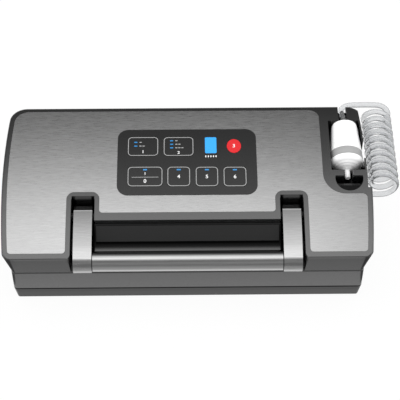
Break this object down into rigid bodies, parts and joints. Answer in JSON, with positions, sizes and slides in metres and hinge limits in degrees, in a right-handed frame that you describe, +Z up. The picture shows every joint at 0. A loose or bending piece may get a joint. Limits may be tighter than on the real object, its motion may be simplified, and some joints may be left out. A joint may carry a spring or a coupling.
{
  "type": "vacuum sealer",
  "caption": "Countertop vacuum sealer with a hinged steel-topped lid, hooked grip handle, key panel and an accessory hose in a cradle.",
  "frame": {"origin": "on the table, under the middle of the machine", "axes": "+X to the user's right, +Y to the back, +Z up"},
  "size_m": [0.432, 0.2064, 0.1113],
  "materials": {
    "body_grey": "satin",
    "handle_silver": "satin",
    "steel": "brushed",
    "black_plastic": "matte",
    "dark_window": "gloss",
    "panel_film": "satin",
    "display_blue": "gloss",
    "key_red": "gloss",
    "led_blue": "gloss",
    "clear_hose": "gloss",
    "nozzle_white": "gloss",
    "band_grey": "satin",
    "soft_rubber": "matte",
    "gasket_rubber": "matte",
    "release_tape": "matte",
    "zinc_steel": "polished",
    "bright_steel": "satin",
    "aluminium": "satin",
    "core_iron": "matte",
    "winding_copper": "satin",
    "brass": "polished",
    "board_green": "satin",
    "wire_black": "matte"
  },
  "bodies": {
    "base": {"base_shell": "body_grey", "bottom_cover": "body_grey", "cover_screws": "zinc_steel", "rubber_feet": "soft_rubber", "hinge_pins": "zinc_steel", "striker_pins": "zinc_steel", "lower_gasket": "gasket_rubber", "heating_bar": "black_plastic", "heating_element": "bright_steel", "release_tape": "release_tape", "drip_tray": "black_plastic", "transformer_core": "core_iron", "transformer_coil": "winding_copper", "supply_board": "board_green", "supply_parts": "black_plastic", "power_inlet": "black_plastic", "inlet_pins": "brass", "mains_wires": "wire_black"},
    "lid": {"lid_frame": "body_grey", "steel_panel": "steel", "control_film": "panel_film", "display_window": "display_blue", "circuit_board": "board_green", "key_switches": "black_plastic", "display_lamp": "nozzle_white", "status_lights": "led_blue", "board_screws": "zinc_steel", "viewing_window": "dark_window", "lid_underside": "black_plastic", "lid_screws": "zinc_steel", "upper_gasket": "gasket_rubber", "pressure_strip": "gasket_rubber", "pump_motors": "bright_steel", "pump_housings": "black_plastic", "pump_heads": "black_plastic", "solenoid_valve": "bright_steel", "vacuum_port": "black_plastic", "air_tubes": "clear_hose", "hose_port": "black_plastic", "hose_lead": "clear_hose", "curly_hose": "clear_hose", "nozzle_body": "nozzle_white", "nozzle_band": "band_grey", "nozzle_tip": "nozzle_white"},
    "handle": {"left_arm": "handle_silver", "right_arm": "handle_silver", "grip_rod": "handle_silver", "grip_plugs": "black_plastic", "grip_bolts": "zinc_steel", "handle_shafts": "bright_steel", "latch_claws": "bright_steel"},
    "mode_button": {"mode_key": "panel_film"},
    "food_button": {"food_key": "panel_film"},
    "pulse_button": {"pulse_key": "key_red"},
    "stop_button": {"stop_key": "panel_film"},
    "seal_button": {"seal_key": "panel_film"},
    "marinate_button": {"marinate_key": "panel_film"},
    "canister_button": {"canister_key": "panel_film"},
    "left_crank": {"left_eccentric": "aluminium"},
    "right_crank": {"right_eccentric": "aluminium"}
  },
  "joints": [
    {"name": "lid_hinge", "type": "hinge", "parent": "base", "child": "lid", "pos_m": [0, 0.087, 0.058], "axis": [-1, 0, 0], "range_deg": [0, 80]},
    {"name": "handle_pivot", "type": "hinge", "parent": "lid", "child": "handle", "pos_m": [0, -0.038, 0.078], "axis": [-1, 0, 0], "range_deg": [0, 60]},
    {"name": "mode_press", "type": "slide", "parent": "lid", "child": "mode_button", "axis": [0, 0, -1], "range_m": [0, 0.0005], "stiffness_N_per_m": 1500},
    {"name": "food_press", "type": "slide", "parent": "lid", "child": "food_button", "axis": [0, 0, -1], "range_m": [0, 0.0005], "stiffness_N_per_m": 1500},
    {"name": "pulse_press", "type": "slide", "parent": "lid", "child": "pulse_button", "axis": [0, 0, -1], "range_m": [0, 0.0005], "stiffness_N_per_m": 1500},
    {"name": "stop_press", "type": "slide", "parent": "lid", "child": "stop_button", "axis": [0, 0, -1], "range_m": [0, 0.0005], "stiffness_N_per_m": 1500},
    {"name": "seal_press", "type": "slide", "parent": "lid", "child": "seal_button", "axis": [0, 0, -1], "range_m": [0, 0.0005], "stiffness_N_per_m": 1500},
    {"name": "marinate_press", "type": "slide", "parent": "lid", "child": "marinate_button", "axis": [0, 0, -1], "range_m": [0, 0.0005], "stiffness_N_per_m": 1500},
    {"name": "canister_press", "type": "slide", "parent": "lid", "child": "canister_button", "axis": [0, 0, -1], "range_m": [0, 0.0005], "stiffness_N_per_m": 1500},
    {"name": "left_pump_spin", "type": "hinge", "parent": "lid", "child": "left_crank", "pos_m": [-0.112, 0.042, 0.072], "axis": [1, 0, 0], "continuous": true},
    {"name": "right_pump_spin", "type": "hinge", "parent": "lid", "child": "right_crank", "pos_m": [0.112, 0.042, 0.072], "axis": [1, 0, 0], "continuous": true}
  ]
}
